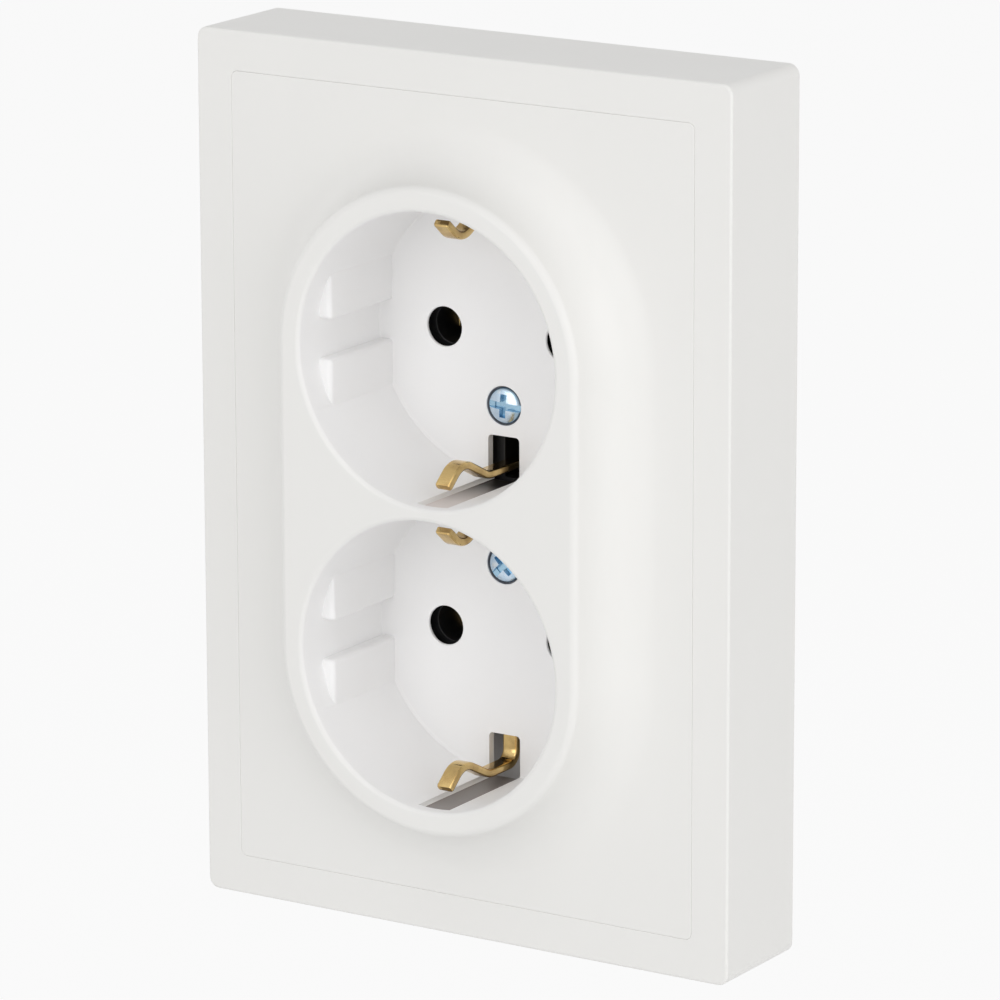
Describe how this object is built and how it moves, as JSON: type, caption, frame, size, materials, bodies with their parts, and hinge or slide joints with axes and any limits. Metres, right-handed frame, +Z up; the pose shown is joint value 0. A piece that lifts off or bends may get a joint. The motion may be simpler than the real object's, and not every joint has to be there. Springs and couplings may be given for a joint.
{
  "type": "double wall socket",
  "caption": "Flush-mounted earthed wall socket with two round plug recesses in one raised oval rim, a deep rectangular frame and an insert with fixing claws for a wall box.",
  "frame": {"origin": "on the wall plane, midway between the two box screw slots of the support ring", "axes": "+X to the right and +Z up as seen from the front, and the front faces -Y"},
  "size_m": [0.084, 0.0493, 0.122],
  "materials": {
    "white_plastic": "warm white thermoplastic with a soft gloss",
    "black_plastic": "black moulded insulating plastic",
    "grey_plastic": "light grey moulded plastic",
    "green_plastic": "green moulded plastic",
    "contact_brass": "bare sheet brass, satin",
    "rivet_brass": "turned brass, dull",
    "zinc_plated_steel": "bright zinc plated steel with a faint blue cast",
    "spring_steel": "stainless spring strip"
  },
  "bodies": {
    "socket": {"cover_frame": "white_plastic", "centre_plate": "white_plastic", "cover_screw_upper": "zinc_plated_steel", "cover_screw_lower": "zinc_plated_steel", "earth_strap": "contact_brass", "earth_bridge": "contact_brass", "base_body": "black_plastic", "rear_cover": "black_plastic", "rear_cover_screws": "zinc_plated_steel", "support_ring": "zinc_plated_steel", "ring_rivets": "rivet_brass", "live_contact_bar": "contact_brass", "neutral_contact_bar": "contact_brass", "live_clamp_spring": "spring_steel", "neutral_clamp_spring": "spring_steel", "earth_clamp_spring": "spring_steel"},
    "live_lever": {"live_release_lever": "grey_plastic"},
    "neutral_lever": {"neutral_release_lever": "grey_plastic"},
    "earth_lever": {"earth_release_lever": "green_plastic"},
    "left_screw": {"claw_screw_left": "zinc_plated_steel"},
    "left_nut": {"claw_nut_left": "zinc_plated_steel"},
    "left_claw": {"claw_left": "zinc_plated_steel"},
    "right_screw": {"claw_screw_right": "zinc_plated_steel"},
    "right_nut": {"claw_nut_right": "zinc_plated_steel"},
    "right_claw": {"claw_right": "zinc_plated_steel"}
  },
  "joints": [
    {"name": "live_lever_press", "type": "slide", "parent": "socket", "child": "live_lever", "axis": [0, -1, 0], "range_m": [0, 0.0015], "stiffness_N_per_m": 400, "deforming": ["live_clamp_spring"]},
    {"name": "neutral_lever_press", "type": "slide", "parent": "socket", "child": "neutral_lever", "axis": [0, -1, 0], "range_m": [0, 0.0015], "stiffness_N_per_m": 400, "deforming": ["neutral_clamp_spring"]},
    {"name": "earth_lever_press", "type": "slide", "parent": "socket", "child": "earth_lever", "axis": [0, -1, 0], "range_m": [0, 0.0015], "stiffness_N_per_m": 400, "deforming": ["earth_clamp_spring"]},
    {"name": "left_screw_turn", "type": "hinge", "parent": "socket", "child": "left_screw", "pos_m": [-0.0216, 0, 0.01], "axis": [0, 1, 0], "range_deg": [0, 2400]},
    {"name": "left_nut_travel", "type": "slide", "parent": "socket", "child": "left_nut", "axis": [0, -1, 0], "range_m": [0, 0.004]},
    {"name": "left_claw_swing", "type": "hinge", "parent": "socket", "child": "left_claw", "pos_m": [-0.0249, 0.0022, 0.01], "axis": [0, 0, 1], "range_deg": [0, 25]},
    {"name": "right_screw_turn", "type": "hinge", "parent": "socket", "child": "right_screw", "pos_m": [0.0216, 0, -0.01], "axis": [0, 1, 0], "range_deg": [0, 2400]},
    {"name": "right_nut_travel", "type": "slide", "parent": "socket", "child": "right_nut", "axis": [0, -1, 0], "range_m": [0, 0.004]},
    {"name": "right_claw_swing", "type": "hinge", "parent": "socket", "child": "right_claw", "pos_m": [0.0249, 0.0022, -0.01], "axis": [0, 0, -1], "range_deg": [0, 25]}
  ],
  "couplings": [
    {"joint": "left_screw_turn", "follows": "left_nut_travel", "rad_per_m": 10472},
    {"joint": "left_claw_swing", "follows": "left_nut_travel", "rad_per_m": 109.08},
    {"joint": "right_screw_turn", "follows": "right_nut_travel", "rad_per_m": 10472},
    {"joint": "right_claw_swing", "follows": "right_nut_travel", "rad_per_m": 109.08}
  ]
}
